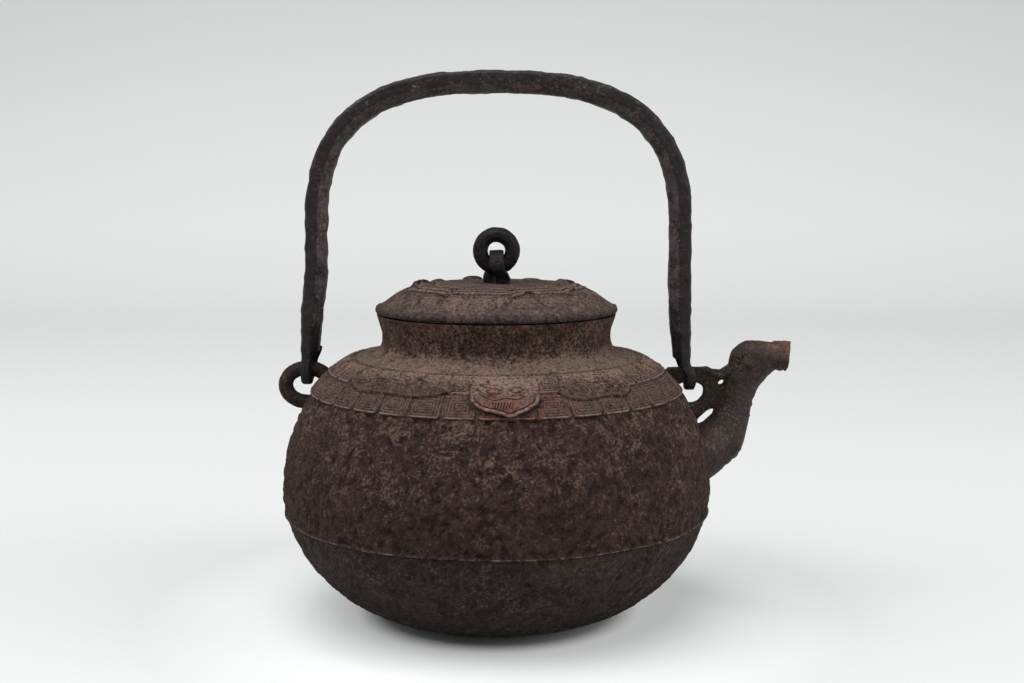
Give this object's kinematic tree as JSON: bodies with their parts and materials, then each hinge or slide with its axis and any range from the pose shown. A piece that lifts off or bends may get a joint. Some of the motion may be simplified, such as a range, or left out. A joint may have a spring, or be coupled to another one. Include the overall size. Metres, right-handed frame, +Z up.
{
  "type": "tetsubin",
  "caption": "Round-bellied cast-iron kettle with an animal-head spout, swinging forged bail handle and a loose lid with a ring knob.",
  "frame": {"origin": "centre of the flat base, on the surface the kettle stands on", "axes": "+Z up, +X towards the spout, -Y towards the viewer of the picture"},
  "size_m": [0.2161, 0.1804, 0.2273],
  "materials": {
    "body_iron": "coarse grainy casting skin, dark brown with rust and dust",
    "spout_iron": "worn brown iron, reddish at the mouth",
    "lug_iron": "worn brown iron",
    "handle_iron": "hammered, dark maroon brown, half matt",
    "lid_iron": "matt brown-grey casting skin",
    "knob_iron": "near black, softly polished by hands"
  },
  "bodies": {
    "kettle": {"body": "body_iron", "spout": "spout_iron", "left_lug": "lug_iron", "right_lug": "lug_iron"},
    "bail": {"handle": "handle_iron"},
    "lid_set": {"lid": "lid_iron", "knob_strap": "knob_iron"},
    "ring": {"knob_ring": "knob_iron"}
  },
  "joints": [
    {"name": "handle_swing", "type": "hinge", "parent": "kettle", "child": "bail", "pos_m": [0, 0, 0.10239], "axis": [0.9999, 0, -0.0158], "range_deg": [-65, 65]},
    {"name": "lid_lift", "type": "slide", "parent": "kettle", "child": "lid_set", "axis": [0, 0, 1], "range_m": [0, 0.045]},
    {"name": "knob_ring_swing", "type": "hinge", "parent": "lid_set", "child": "ring", "pos_m": [0, 0, 0.14625], "axis": [1, 0, 0], "range_deg": [-60, 60]}
  ]
}
